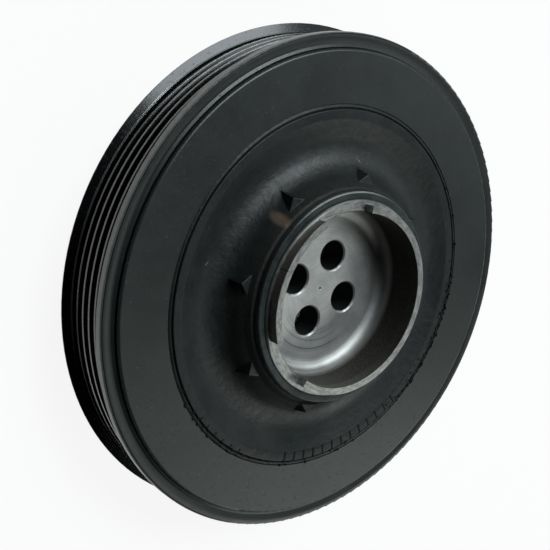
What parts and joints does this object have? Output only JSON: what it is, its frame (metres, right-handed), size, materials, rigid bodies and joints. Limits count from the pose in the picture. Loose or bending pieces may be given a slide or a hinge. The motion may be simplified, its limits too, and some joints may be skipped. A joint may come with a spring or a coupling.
{
  "type": "crankshaft pulley",
  "caption": "Round ribbed belt pulley with a rubber coupling, a vibration damper behind it and a steel hub with a notched cup and bolt holes.",
  "frame": {"origin": "on the axis, in the plane of the pulley ring's rear face, which is the lowest plane as it lies", "axes": "+Z along the crankshaft axis, from the engine towards the front; +X through the middle of the hub's long tab"},
  "size_m": [0.1722, 0.1722, 0.0387],
  "materials": {
    "ring_black": "satin black coating, worn bright on the edges",
    "disc_black": "satin black coating",
    "hub_steel": "turned and coated steel",
    "sleeve_steel": "dark phosphated steel",
    "coupling_rubber": "moulded black rubber",
    "damper_rubber": "moulded black rubber",
    "cast_iron": "machined cast iron, dark coated",
    "bush_polymer": "plain polymer"
  },
  "bodies": {
    "root": {"pulley_ring": "ring_black", "front_disc": "disc_black", "hub": "hub_steel", "coupling_sleeve": "sleeve_steel", "coupling_rubber": "coupling_rubber", "inertia_ring": "cast_iron", "damper_rubber": "damper_rubber", "bearing_bush": "bush_polymer"}
  },
  "joints": []
}
